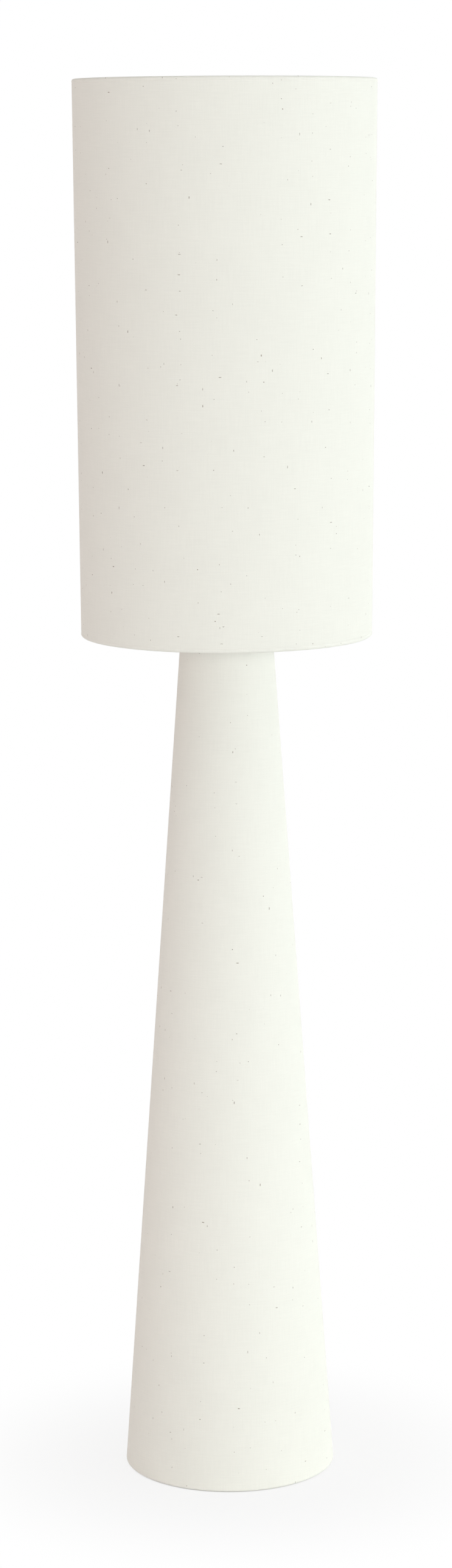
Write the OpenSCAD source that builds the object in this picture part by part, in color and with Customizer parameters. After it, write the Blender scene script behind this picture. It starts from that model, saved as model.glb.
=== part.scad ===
// Column floor lamp: a slim cloth-covered cone that carries a tall drum shade
// in the same cloth. Millimetres, +Z up, the origin on the floor under the
// column's axis, the back of the lamp (seams and cord outlet) at +Y.

/* [Overall] */
// Height of the lamp, from the floor to the shade's top edge
lamp_h = 1600; // [1450:10:1750]
// Thickness of the woven cotton on the column and the shade
cloth_t = 0.8; // [0.5:0.1:1.2]
// Bond line between the cloth and what it is stuck to
bond_gap = 0.1; // [0.05:0.05:0.3]

/* [Column] */
// Diameter of the column at the floor, over the cloth
base_d = 244; // [230:1:280]
// Diameter of the column at its top, over the cloth
column_top_d = 96; // [84:1:110]
// How far the column reaches up inside the shade
column_rise = 62; // [40:1:90]
// Wall of the board cone under the cloth
board_t = 3; // [2:0.5:5]
// Width of cloth folded under the base and over the cap
fold_w = 12; // [6:1:20]
// Thickness of the turned cap that closes the top of the cone
cap_t = 15; // [10:1:25]

/* [Base] */
// Thickness of the felt under the base
felt_t = 2; // [1.5:0.5:4]
// Height of the base disc's full-width edge
base_edge_h = 24; // [22:1:34]
// Height of the plug on the base disc that the cone is glued round
base_plug_h = 12; // [6:1:20]
// Diameter of the recess under the base disc
recess_d = 44; // [36:1:60]
// Wood left above the recess, under the top of the plug
recess_roof = 18; // [12:1:20]
// Diameter of the cast ballast disc
ballast_d = 200; // [160:5:204]
// Thickness of the cast ballast disc
ballast_h = 20; // [12:1:30]

/* [Tie rod] */
// Outside diameter of the threaded tube
rod_d = 10; // [8:1:10]
// Wall of the threaded tube
rod_wall = 1; // [0.8:0.1:1.5]
// Length of tube that stands out past a nut
rod_tail = 3.5; // [1:0.5:5]
// Width across the flats of a rod nut
nut_af = 17; // [15:0.5:19]
// Thickness of a rod nut
nut_h = 5; // [3:0.5:6]
// Outside diameter of a rod washer
washer_d = 30; // [24:1:34]
// Thickness of a rod washer
washer_t = 1.5; // [1:0.1:2.5]
// Outside diameter of the sleeve under the lampholder
sleeve_d = 14; // [13:0.5:16]
// Length of the sleeve under the lampholder
sleeve_h = 17; // [8:1:40]

/* [Cord outlet] */
// Bore of the grommet that a mains cord passes through
cord_bore_d = 7; // [5:0.5:8]
// Outside diameter of the grommet's shank
grommet_d = 12; // [11:0.5:14]
// Diameter of the grommet's flange
grommet_flange_d = 17; // [16:0.5:20]
// Thickness of the grommet's flange
grommet_flange_t = 2; // [1:0.5:3]
// Length of the grommet's shank, from the cloth inwards
grommet_l = 14; // [10:1:20]
// Height of the outlet's axis above the floor
outlet_z = 13; // [12:0.5:15]
// Diameter of the cord's way through the base disc
cord_way_d = 9; // [8:0.5:10]

/* [Shade] */
// Height of the shade
shade_h = 622; // [500:1:700]
// Outside diameter of the shade's top edge
shade_top_d = 340; // [320:1:380]
// Outside diameter of the shade's bottom edge
shade_bottom_d = 331; // [310:1:380]
// Thickness of the stiff sheet that lines the shade
liner_t = 1; // [0.5:0.1:2]
// Diameter of the wire rings in the shade's two edges
wire_d = 3; // [2:0.5:4]
// Length of cloth rolled over an edge and down its inside
roll_l = 9; // [6:1:14]

/* [Shade fitter] */
// Hole of the fitter ring that drops over the lampholder
fitter_hole_d = 42; // [41:0.5:43]
// Outside diameter of the fitter ring
fitter_d = 68; // [62:1:76]
// Thickness of the fitter ring's sheet
fitter_t = 1.2; // [1:0.1:2]
// Height of the fitter ring's down-turned rim, over its sheet
fitter_rim_h = 5; // [4:0.5:6]
// Diameter of the three fitter arms
arm_d = 4; // [3:0.5:5]
// Length of an arm's level end, from the fitter ring's rim to its bend
arm_level_l = 18; // [14:2:24]

/* [Lampholder] */
// Height of the lampholder
holder_h = 57; // [54:1:62]
// Outside diameter of the skirt that the clamp ring screws on
skirt_d = 39.5; // [39:0.1:39.5]
// Diameter of the lampholder's lower cap
holder_cap_d = 36; // [34:0.5:36]
// Height of the lampholder's lower cap
holder_cap_h = 22; // [20:0.5:23]
// Diameter of the cap's neck
holder_neck_d = 18; // [16:0.5:20]
// Wall of the plastic mouldings
holder_wall = 2; // [1.5:0.1:2.4]
// Height of the collar's underside above the lampholder's foot
collar_z = 32; // [30:0.5:33]
// Diameter of the collar that the fitter ring rests on
collar_d = 50; // [47:0.5:51]
// Thickness of the collar
collar_t = 2.5; // [2:0.1:3]
// Inside diameter of the screw shell
shell_d = 27; // [27:0.1:27.2]
// Wall of the screw shell
shell_t = 0.5; // [0.3:0.1:0.6]
// Height of the ceramic insert
insert_h = 9; // [7:0.5:9]
// Outside diameter of the clamp ring
clamp_d = 54; // [50:1:56]
// Height of the clamp ring
clamp_h = 8; // [5:0.5:10]

/* [Bulb] */
// Diameter of the bulb's screw cap
bulb_cap_d = 26.4; // [26:0.1:26.4]
// Height of the bulb's screw cap
bulb_cap_h = 21; // [18:0.5:23]
// Length of the bulb, from its tip to its crown
bulb_l = 108; // [104:1:130]
// Diameter of the bulb's globe
globe_d = 60; // [56:1:66]
// Height of the globe's widest circle above the bulb's tip
globe_z = 76; // [74:1:78]
// Wall of the globe
globe_t = 1.2; // [0.8:0.1:2]
// Wall of the bulb's plastic housing
housing_t = 1.5; // [1:0.1:2]

/* [Fits] */
// Clearance round a thread or a glued plug, on the radius
fit_gap = 0.05; // [0.02:0.01:0.1]
// Clearance of a free hole round what passes through it, on the radius
hole_gap = 0.25; // [0.1:0.05:0.5]
// Clearance between the pieces that turn on each other
turn_gap = 0.08; // [0.05:0.01:0.1]

/* [Hidden] */
$fn = 96;

// Column levels and outlines
shade_z = lamp_h - shade_h;
column_top_z = shade_z + column_rise;
cap_top_z = column_top_z - cloth_t;
base_shoulder_z = felt_t + base_edge_h;
ballast_z = base_shoulder_z + base_plug_h;
recess_top_z = ballast_z - recess_roof;
column_taper = (base_d - column_top_d) / 2 / column_top_z;
cloth_inset = cloth_t + bond_gap;
plug_inset = cloth_inset + board_t + fit_gap;
function column_r(z) = base_d / 2 - column_taper * z;

// Tie rod levels
foot_nut_z = recess_top_z - washer_t - nut_h;
rod_foot_z = foot_nut_z - rod_tail;
ballast_nut_z = ballast_z + ballast_h + washer_t;
cap_nut_z = cap_top_z + washer_t;
sleeve_z = cap_nut_z + nut_h;
nut_levels = [foot_nut_z, ballast_nut_z, cap_nut_z];
washer_levels = [recess_top_z - washer_t, ballast_z + ballast_h, cap_top_z];

// Lampholder levels, all above its foot
holder_z = sleeve_z + sleeve_h;
neck_h = 8;
dome_z = 14;
wrap_z = 15;
collar_top = collar_z + collar_t;
insert_top = holder_cap_h + insert_h;
socket_r = shell_d / 2 + shell_t + fit_gap + bond_gap;
barrel_r = socket_r + holder_wall;
shell_drop = 7;
lip_t = 2;
seat_w = 2;
clamp_z = collar_top + fitter_t + turn_gap;
grub_d = 3;
grub_z = neck_h / 2 - 1;
terminal_x = 7;
terminal_d = 5;
contact_w = 5;
contact_t = 0.5;
contact_reach = 8;
contact_rise = 3.5;

// Bulb levels, all above its tip
bulb_z = holder_z + insert_top + contact_rise + contact_t + turn_gap;
tip_d = 9;
tip_h = 2;
bulb_cap_z = 6;
bulb_cap_t = 0.5;
bulb_cap_top = bulb_cap_z + bulb_cap_h;
bulb_plug_h = 6;
housing_foot_r = bulb_cap_d / 2 + 1;
housing_top = 62;
globe_steps = 20;
globe_rise = bulb_l - globe_z;
globe_foot_a = -asin((globe_z - housing_top) / globe_rise);
housing_steps = 10;
globe_foot_r = globe_d / 2 * cos(globe_foot_a);
plate_t = 1.5;
plate_z = housing_top - plate_t - fit_gap;
ledge_w = 3;
ledge_h = 2;
plate_r = globe_foot_r - housing_t - fit_gap;
chip_w = 3;
chip_h = 0.8;
chip_count = 12;
housing_plug_r = bulb_cap_d / 2 - bulb_cap_t - fit_gap;
pcb_w = 2 * (housing_plug_r - housing_t) - 4 * bond_gap;
pcb_t = 1.6;
pcb_h = 30;

// Shade outline and levels
shade_taper = (shade_top_d - shade_bottom_d) / 2 / shade_h;
function shade_r(z) = shade_bottom_d / 2 + shade_taper * (z - shade_z);
wire_inset = cloth_inset + liner_t + bond_gap + wire_d / 2;
roll_inset = wire_inset + wire_d / 2 + bond_gap;
bottom_wire_z = shade_z + cloth_inset + wire_d / 2;
top_wire_z = lamp_h - cloth_inset - wire_d / 2;
bottom_wire_r = shade_r(bottom_wire_z) - wire_inset;
top_wire_r = shade_r(top_wire_z) - wire_inset;

// Fitter levels
fitter_z = holder_z + collar_top;
arm_count = 3;
arm_turn = 90;
arm_z = fitter_z + fitter_t - fitter_rim_h + arm_d / 2;
arm_start_r = fitter_d / 2 + bond_gap;
arm_bend_r = arm_start_r + arm_level_l;

// A ring or a turned solid from its outline of [radius, height] points
module turned(points, z = 0) {
    translate([0, 0, z])
        rotate_extrude()
            polygon(points);
}

// A round plate with a round hole
module ring_plate(d, hole_d, h, z) {
    translate([0, 0, z])
        difference() {
            cylinder(d = d, h = h);
            translate([0, 0, -1])
                cylinder(d = hole_d, h = h + 2);
        }
}

// A straight round bar from one point to another
module bar(from, to, d) {
    run = to - from;
    translate(from)
        rotate([0, acos(run[2] / norm(run)), atan2(run[1], run[0])])
            cylinder(d = d, h = norm(run), $fn = 32);
}

// Felt pad under the base: the lamp stands on it
module floor_felt() {
    color("dimgray")
        cylinder(r = column_r(0) - fold_w - cloth_t, h = felt_t);
}

// Turned wood-fibre disc: a full-width edge, a plug for the cone, a recess
// under it for the rod's foot, and the cord's way in from the back
module base_disc() {
    edge_r = column_r(felt_t) - cloth_inset;
    shoulder_r = column_r(base_shoulder_z) - cloth_inset;
    plug_r0 = column_r(base_shoulder_z) - plug_inset;
    plug_r1 = column_r(ballast_z) - plug_inset;
    color("peru")
        difference() {
            turned([[0, felt_t], [edge_r, felt_t], [shoulder_r, base_shoulder_z],
                [plug_r0, base_shoulder_z], [plug_r1, ballast_z], [0, ballast_z]]);
            translate([0, 0, felt_t - 1])
                cylinder(d = recess_d, h = recess_top_z - felt_t + 1);
            cylinder(d = rod_d + 2 * hole_gap, h = ballast_z + 1);
            translate([0, 0, outlet_z])
                rotate([-90, 0, 0])
                    cylinder(d = cord_way_d, h = base_d / 2);
            translate([0, column_r(outlet_z) - grommet_l - fit_gap, outlet_z])
                rotate([-90, 0, 0])
                    cylinder(d = grommet_d + 2 * fit_gap, h = base_d / 2);
        }
}

// Cast disc inside the foot of the column that keeps the lamp upright
module ballast_disc() {
    chamfer = ballast_h / 8;
    rim_r = ballast_d / 2;
    bore_r = rod_d / 2 + hole_gap;
    color("darkslategray")
        turned([[bore_r, 0], [rim_r - chamfer, 0], [rim_r, chamfer],
            [rim_r, ballast_h - chamfer], [rim_r - chamfer, ballast_h], [bore_r, ballast_h]],
            ballast_z);
}

// Threaded tube that ties base, cone and cap together and carries the holder
module tie_rod() {
    color("silver")
        ring_plate(rod_d, rod_d - 2 * rod_wall, holder_z + neck_h - rod_foot_z, rod_foot_z);
}

module rod_washers() {
    color("silver")
        for (level = washer_levels)
            ring_plate(washer_d, rod_d + 2 * hole_gap, washer_t, level);
}

module rod_nuts() {
    color("silver")
        for (level = nut_levels)
            translate([0, 0, level])
                difference() {
                    cylinder(d = nut_af / cos(30), h = nut_h, $fn = 6);
                    translate([0, 0, -1])
                        cylinder(d = rod_d + 2 * fit_gap, h = nut_h + 2);
                }
}

// Rolled board cone, glued to the base disc's plug and round the cap
module column_liner() {
    foot_r = column_r(base_shoulder_z) - cloth_inset;
    head_r = column_r(cap_top_z) - cloth_inset;
    color("burlywood")
        turned([[foot_r - board_t, base_shoulder_z], [foot_r, base_shoulder_z],
            [head_r, cap_top_z], [head_r - board_t, cap_top_z]]);
}

// Cloth on the cone, folded under the base disc and over the cap
module column_cover() {
    hem_z = felt_t - cloth_t;
    hem_r = column_r(0) - fold_w;
    fold_r = column_top_d / 2 - fold_w;
    color("ivory")
        difference() {
            turned([[hem_r, hem_z], [column_r(hem_z), hem_z], [column_top_d / 2, column_top_z],
                [fold_r, column_top_z], [fold_r, cap_top_z],
                [column_r(cap_top_z) - cloth_t, cap_top_z],
                [column_r(felt_t) - cloth_t, felt_t], [hem_r, felt_t]]);
            translate([0, 0, outlet_z])
                rotate([-90, 0, 0])
                    cylinder(d = grommet_d + 2 * hole_gap, h = base_d);
        }
}

// Turned disc that closes the cone's top
module cap_disc() {
    low_z = cap_top_z - cap_t;
    bore_r = rod_d / 2 + hole_gap;
    color("white")
        turned([[bore_r, low_z], [column_r(low_z) - plug_inset, low_z],
            [column_r(cap_top_z) - plug_inset, cap_top_z], [bore_r, cap_top_z]]);
}

// Snap-in grommet for the mains cord; its flange follows the cone
module cord_grommet() {
    face_y = column_r(outlet_z);
    color("ivory")
        translate([0, 0, outlet_z])
            difference() {
                union() {
                    translate([0, face_y - grommet_l, 0])
                        rotate([-90, 0, 0])
                            cylinder(d = grommet_d, h = grommet_l + grommet_flange_t);
                    difference() {
                        translate([0, face_y - grommet_flange_t, 0])
                            rotate([-90, 0, 0])
                                cylinder(d = grommet_flange_d, h = 2 * grommet_flange_t);
                        turned([[0, -outlet_z], [column_r(0) + fit_gap, -outlet_z],
                            [column_r(base_shoulder_z) + fit_gap, base_edge_h],
                            [0, base_edge_h]]);
                    }
                }
                rotate([-90, 0, 0])
                    cylinder(d = cord_bore_d, h = base_d);
            }
}

// Plain sleeve that covers the tube between the cap nut and the lampholder
module riser_sleeve() {
    color("silver")
        ring_plate(sleeve_d, rod_d + 2 * hole_gap, sleeve_h, sleeve_z);
}

// Lower cap of the lampholder, screwed on the tube
module lampholder_cap() {
    bore_r = rod_d / 2 + fit_gap;
    neck_r = holder_neck_d / 2;
    cap_r = holder_cap_d / 2;
    seat_z = holder_cap_h - seat_w;
    seat_r = socket_r - seat_w;
    color("whitesmoke")
        difference() {
            turned([[bore_r, 0], [neck_r, 0], [neck_r, neck_h - holder_wall],
                [cap_r, dome_z], [cap_r, holder_cap_h], [seat_r, holder_cap_h],
                [seat_r, seat_z], [cap_r - holder_wall, seat_z],
                [cap_r - holder_wall, dome_z + 1], [neck_r, neck_h], [bore_r, neck_h]],
                holder_z);
            translate([0, 0, holder_z + grub_z])
                rotate([-90, 0, 0])
                    cylinder(d = grub_d + 2 * fit_gap, h = holder_neck_d);
        }
}

// Grub screw that locks the cap on the tube
module cap_grub_screw() {
    start_r = rod_d / 2 + fit_gap;
    color("silver")
        translate([0, start_r, holder_z + grub_z])
            rotate([-90, 0, 0])
                cylinder(d = grub_d, h = holder_neck_d / 2 - start_r);
}

// Upper moulding: wraps the cap, carries the collar and the threaded skirt
module lampholder_body() {
    wrap_in = holder_cap_d / 2 + fit_gap;
    wrap_out = wrap_in + holder_wall;
    skirt_r = skirt_d / 2;
    skirt_in = skirt_r - holder_wall;
    lip_z = holder_h - lip_t;
    color("whitesmoke")
        turned([[wrap_in, wrap_z], [wrap_out, wrap_z], [wrap_out, collar_z],
            [collar_d / 2, collar_z], [collar_d / 2, collar_top], [skirt_r, collar_top],
            [skirt_r, holder_h], [socket_r, holder_h], [socket_r, lip_z], [skirt_in, lip_z],
            [skirt_in, holder_cap_h], [wrap_in, holder_cap_h]], holder_z);
}

// Ceramic insert: a block with the terminals and the contact, and a barrel
// round the screw shell
module lampholder_insert() {
    pocket_h = insert_h * 2 / 3;
    block_r = skirt_d / 2 - holder_wall - fit_gap;
    barrel_h = holder_h - lip_t - fit_gap - holder_cap_h;
    color("oldlace")
        translate([0, 0, holder_z + holder_cap_h])
            difference() {
                turned([[0, 0], [block_r, 0], [block_r, insert_h], [barrel_r, insert_h],
                    [barrel_r, barrel_h], [socket_r, barrel_h], [socket_r, insert_h],
                    [0, insert_h]]);
                for (side = [-1, 1])
                    translate([side * terminal_x, 0, -1])
                        cylinder(d = terminal_d + 2 * fit_gap, h = pocket_h + 1);
            }
}

module terminal_screws() {
    pocket_h = insert_h * 2 / 3;
    color("gold")
        for (side = [-1, 1])
            translate([side * terminal_x, 0, holder_z + holder_cap_h])
                difference() {
                    cylinder(d = terminal_d, h = pocket_h);
                    translate([-terminal_d, -contact_t, -1])
                        cube([2 * terminal_d, 2 * contact_t, 2]);
                }
}

// Brass shell that takes the bulb's screw cap
module screw_shell() {
    shell_r = shell_d / 2;
    shell_top = holder_h - shell_drop;
    color("gold")
        turned([[shell_r, insert_top], [shell_r + shell_t, insert_top],
            [shell_r + shell_t, shell_top], [shell_r, shell_top]], holder_z);
}

// Leaf spring that meets the bulb's tip
module centre_contact() {
    color("gold")
        translate([-contact_w / 2, -contact_reach, holder_z + insert_top]) {
            cube([contact_w, 2 * contact_reach, contact_t]);
            cube([contact_w, contact_t, contact_rise + contact_t]);
            translate([0, 0, contact_rise])
                cube([contact_w, contact_reach + tip_d / 2, contact_t]);
        }
}

// Threaded ring that clamps the shade's fitter ring on the collar
module clamp_ring() {
    grip_count = 24;
    grip_d = 2;
    clamp_r = clamp_d / 2;
    color("whitesmoke")
        translate([0, 0, holder_z + clamp_z])
            difference() {
                cylinder(r = clamp_r, h = clamp_h);
                translate([0, 0, -1])
                    cylinder(r = skirt_d / 2 + turn_gap, h = clamp_h + 2);
                for (turn = [0:grip_count - 1])
                    rotate([0, 0, turn * 360 / grip_count])
                        translate([clamp_r + grip_d / 4, 0, -1])
                            cylinder(d = grip_d, h = clamp_h + 2, $fn = 16);
            }
}

// Pressed ring that drops over the skirt and rests on the collar
module fitter_ring() {
    hole_r = fitter_hole_d / 2;
    rim_r = fitter_d / 2;
    rim_in = rim_r - fitter_t;
    rim_low = fitter_t - fitter_rim_h;
    color("white")
        turned([[hole_r, 0], [rim_in, 0], [rim_in, rim_low], [rim_r, rim_low],
            [rim_r, fitter_t], [hole_r, fitter_t]], fitter_z);
}

// Three arms from the fitter ring's rim down to the bottom wire
module fitter_arms() {
    bend = [arm_bend_r, 0, arm_z];
    foot = [bottom_wire_r, 0, bottom_wire_z];
    slope = (foot - bend) / norm(foot - bend);
    tip = foot - slope * (wire_d / 2 + bond_gap);
    color("white")
        for (turn = [0:arm_count - 1])
            rotate([0, 0, arm_turn + turn * 360 / arm_count]) {
                bar([arm_start_r, 0, arm_z], bend, arm_d);
                translate(bend)
                    sphere(d = arm_d, $fn = 32);
                bar(bend, tip, arm_d);
            }
}

module bottom_wire() {
    color("white")
        translate([0, 0, bottom_wire_z])
            rotate_extrude()
                translate([bottom_wire_r, 0])
                    circle(d = wire_d, $fn = 24);
}

module top_wire() {
    color("white")
        translate([0, 0, top_wire_z])
            rotate_extrude()
                translate([top_wire_r, 0])
                    circle(d = wire_d, $fn = 24);
}

// Stiff white sheet that the shade's cloth is bonded to
module shade_liner() {
    low_z = shade_z + cloth_inset;
    high_z = lamp_h - cloth_inset;
    low_r = shade_r(low_z) - cloth_inset;
    high_r = shade_r(high_z) - cloth_inset;
    color("white")
        turned([[low_r - liner_t, low_z], [low_r, low_z], [high_r, high_z],
            [high_r - liner_t, high_z]]);
}

// Cloth on the shade, rolled over both wires and down their insides, and slit
// where an arm comes in to the bottom wire
module shade_cover() {
    slit_w = 2 * arm_d;
    in_low = shade_z + cloth_t;
    in_high = lamp_h - cloth_t;
    low_lip = shade_z + roll_l;
    high_lip = lamp_h - roll_l;
    low_in = shade_r(shade_z) - roll_inset;
    high_in = shade_r(lamp_h) - roll_inset;
    round_w = cloth_t * 0.6;
    color("ivory")
        difference() {
            turned([[low_in - cloth_t, shade_z + round_w], [low_in - cloth_t + round_w, shade_z],
                [shade_r(shade_z) - round_w, shade_z], [shade_r(shade_z), shade_z + round_w],
                [shade_r(lamp_h), lamp_h - round_w], [shade_r(lamp_h) - round_w, lamp_h],
                [high_in - cloth_t + round_w, lamp_h], [high_in - cloth_t, lamp_h - round_w],
                [high_in - cloth_t, high_lip], [high_in, high_lip], [high_in, in_high],
                [shade_r(in_high) - cloth_t, in_high], [shade_r(in_low) - cloth_t, in_low],
                [low_in, in_low], [low_in, low_lip], [low_in - cloth_t, low_lip]]);
            for (turn = [0:arm_count - 1])
                rotate([0, 0, arm_turn + turn * 360 / arm_count])
                    translate([low_in - 3 * cloth_t, -slit_w / 2, bottom_wire_z - wire_d / 4])
                        cube([3 * cloth_t + bond_gap, slit_w, roll_l]);
        }
}

// Solder tip of the bulb
module bulb_tip() {
    edge = tip_h / 4;
    color("silver")
        turned([[0, 0], [tip_d / 2 - edge, 0], [tip_d / 2, edge], [tip_d / 2, tip_h],
            [0, tip_h]], bulb_z);
}

module bulb_insulator() {
    rim_r = bulb_cap_d / 2 - bulb_cap_t - fit_gap;
    color("black")
        turned([[0, tip_h], [tip_d / 2 + 1, tip_h], [rim_r - 1, bulb_cap_z],
            [rim_r, bulb_cap_z], [rim_r, bulb_cap_z + tip_h], [0, bulb_cap_z + tip_h]], bulb_z);
}

module bulb_cap() {
    cap_r = bulb_cap_d / 2;
    color("silver")
        turned([[cap_r - bulb_cap_t, bulb_cap_z], [cap_r, bulb_cap_z], [cap_r, bulb_cap_top],
            [cap_r - bulb_cap_t, bulb_cap_top]], bulb_z);
}

// Flared plastic housing between the screw cap and the globe
module bulb_housing() {
    flare_h = housing_top - bulb_cap_top;
    flare_w = globe_foot_r - housing_foot_r;
    ledge_z = plate_z - fit_gap;
    outer = [for (i = [0:housing_steps])
        [housing_foot_r + flare_w * (1 - cos(i * 90 / housing_steps)) ^ 0.8,
            bulb_cap_top + flare_h * i / housing_steps]];
    inner = [for (i = [housing_steps - 2:-1:1])
        [outer[i][0] - housing_t, min(outer[i][1], ledge_z - ledge_h)]];
    color("whitesmoke")
        turned(concat([[housing_plug_r - housing_t, bulb_cap_top - bulb_plug_h],
            [housing_plug_r, bulb_cap_top - bulb_plug_h], [housing_plug_r, bulb_cap_top]],
            outer,
            [[plate_r + fit_gap, housing_top], [plate_r + fit_gap, ledge_z],
            [plate_r - ledge_w, ledge_z], [plate_r - ledge_w, ledge_z - ledge_h]],
            inner), bulb_z);
}

// Driver circuit board, held by its edges in the housing's foot
module driver_board() {
    color("green")
        translate([-pcb_w / 2, -pcb_t / 2, bulb_z + bulb_cap_top - bulb_plug_h])
            cube([pcb_w, pcb_t, pcb_h]);
}

module led_plate() {
    color("lightgray")
        translate([0, 0, bulb_z + plate_z])
            cylinder(r = plate_r, h = plate_t);
}

module led_chips() {
    color("khaki")
        for (turn = [0:chip_count - 1])
            rotate([0, 0, turn * 360 / chip_count])
                translate([plate_r / 2 - chip_w / 2, -chip_w / 2, bulb_z + plate_z + plate_t])
                    cube([chip_w, chip_w, chip_h]);
}

// Opal globe over the lit plate
module bulb_globe() {
    span = 90 - globe_foot_a;
    outer = [for (i = [0:globe_steps])
        let (a = globe_foot_a + span * i / globe_steps)
        [globe_d / 2 * cos(a), globe_z + globe_rise * sin(a)]];
    inner = [for (i = [globe_steps:-1:0])
        let (a = globe_foot_a + span * i / globe_steps)
        [(globe_d / 2 - globe_t) * cos(a),
            max(housing_top, globe_z + (globe_rise - globe_t) * sin(a))]];
    color("white")
        turned(concat(outer, inner), bulb_z);
}

floor_felt();
base_disc();
ballast_disc();
tie_rod();
rod_washers();
rod_nuts();
column_liner();
column_cover();
cap_disc();
cord_grommet();
riser_sleeve();
lampholder_cap();
cap_grub_screw();
lampholder_body();
lampholder_insert();
terminal_screws();
screw_shell();
centre_contact();
clamp_ring();
fitter_ring();
fitter_arms();
bottom_wire();
top_wire();
shade_liner();
shade_cover();
bulb_tip();
bulb_insulator();
bulb_cap();
bulb_housing();
driver_board();
led_plate();
led_chips();
bulb_globe();
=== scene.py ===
import math

import bpy
from mathutils import Matrix, Vector


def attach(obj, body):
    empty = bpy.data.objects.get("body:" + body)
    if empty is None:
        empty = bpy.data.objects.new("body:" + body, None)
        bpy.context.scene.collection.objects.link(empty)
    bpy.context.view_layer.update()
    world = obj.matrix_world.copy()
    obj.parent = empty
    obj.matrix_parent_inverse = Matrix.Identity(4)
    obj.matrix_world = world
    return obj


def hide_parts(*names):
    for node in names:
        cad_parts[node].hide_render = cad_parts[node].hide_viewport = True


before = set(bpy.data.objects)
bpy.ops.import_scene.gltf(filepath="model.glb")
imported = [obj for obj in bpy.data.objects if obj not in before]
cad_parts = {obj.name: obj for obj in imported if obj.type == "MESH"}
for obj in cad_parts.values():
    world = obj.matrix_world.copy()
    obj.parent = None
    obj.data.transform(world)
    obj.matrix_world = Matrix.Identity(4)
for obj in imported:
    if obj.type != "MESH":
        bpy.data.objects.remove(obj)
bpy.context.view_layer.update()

# ---------------------------------------------------------------- camera
# It stands just over four metres before the lamp at about eye height and looks a
# little down, at the lamp's middle. Its small roll is the photograph's own.
scene = bpy.context.scene
eye = (-0.0015, -4.264, 1.522)
look_down = 9.54
camera_roll = -0.228
focal_length = 86.65

bpy.ops.object.camera_add()
camera = bpy.context.object
camera.name = "camera"
camera.data.lens = focal_length
camera.matrix_world = (
    Matrix.Translation(eye)
    @ Matrix.Rotation(math.radians(90 - look_down), 4, "X")
    @ Matrix.Rotation(math.radians(camera_roll), 4, "Z")
)
scene.camera = camera
scene.view_settings.view_transform = "Standard"

# ---------------------------------------------------------------- studio
# A pale floor in a white surround. Most light comes level, from a soft band near
# the horizon, and more from the right and the front than from the left, as in
# the photograph.
ambient_light = 0.26
lower_light = 0.24
overhead_light = 0.70
front_light = 0.35
left_light = (1.85, 1.32, 1.28)
right_light = (5.30, 5.55, 5.62)
level_height = 0.07
level_spread = 0.11
side_reach = (-1.15, 0.55)
overhead_narrowness = 4
foot_fill = 0.15
fill_reach = (0.45, 0.12)
foot_sides = (-0.12, 0.12)
floor_radius = 2.4
floor_opening = 0.106
floor_albedo = 0.93
floor_white = 0.8
white_reach = (0.1, 0.4)
foot_edge = (0.1175, 0.1215)


class Socket:
    """A node's output that can be reckoned with: each sum adds its Math node."""

    def __init__(self, nodes, output):
        self.nodes = nodes
        self.output = output

    def math(self, operation, *values):
        return self.nodes.add("ShaderNodeMath", {"operation": operation}, dict(enumerate(values)))

    def __add__(self, other):
        return self.math("ADD", self, other)

    def __radd__(self, other):
        return self.math("ADD", other, self)

    def __sub__(self, other):
        return self.math("SUBTRACT", self, other)

    def __rsub__(self, other):
        return self.math("SUBTRACT", other, self)

    def __mul__(self, other):
        return self.math("MULTIPLY", self, other)

    def __rmul__(self, other):
        return self.math("MULTIPLY", other, self)

    def __truediv__(self, other):
        return self.math("DIVIDE", self, other)

    def __pow__(self, other):
        return self.math("POWER", self, other)

    def __lt__(self, other):
        return self.math("LESS_THAN", self, other)

    def __abs__(self):
        return self.math("ABSOLUTE", self)


class Nodes:
    """One node tree, to which add() adds a node and returns one of its outputs."""

    def __init__(self, tree):
        self.tree = tree

    def add(self, kind, settings=None, inputs=None, output=0):
        node = self.tree.nodes.new(kind)
        for name, value in (settings or {}).items():
            setattr(node, name, value)
        for name, value in (inputs or {}).items():
            self.feed(node.inputs[name], value)
        return Socket(self, node.outputs[output])

    def feed(self, socket, value):
        if isinstance(value, Socket):
            self.tree.links.new(value.output, socket)
        else:
            socket.default_value = value

    def vector(self, operation, a, b):
        b = {"Scale": b} if operation == "SCALE" else {1: b}
        return self.add("ShaderNodeVectorMath", {"operation": operation}, {0: a, **b})

    def tint(self, amount, a, b):
        """The colour a where amount is 0 and b where it is 1."""
        ends = [c if isinstance(c, Socket) else (*c, 1) for c in (a, b)]
        return self.add("ShaderNodeMix", {"data_type": "RGBA"}, {0: amount, 6: ends[0], 7: ends[1]}, 2)

    def parts(self, vector):
        return [self.add("ShaderNodeSeparateXYZ", None, {0: vector}, axis) for axis in range(3)]

    def ease(self, value, start, end):
        """0 at start, 1 at end, smooth between; start may be the larger."""
        return self.add(
            "ShaderNodeMapRange",
            {"interpolation_type": "SMOOTHSTEP"},
            {"Value": value, "From Min": start, "From Max": end},
        )


def in_view(nodes):
    """1 on camera, glossy and transmission rays, else 0."""
    rays = nodes.tree.nodes.new("ShaderNodeLightPath")
    seen = Socket(nodes, rays.outputs["Is Camera Ray"])
    for kind in ("Is Glossy Ray", "Is Transmission Ray"):
        seen = seen.math("MAXIMUM", seen, Socket(nodes, rays.outputs[kind]))
    return seen


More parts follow.
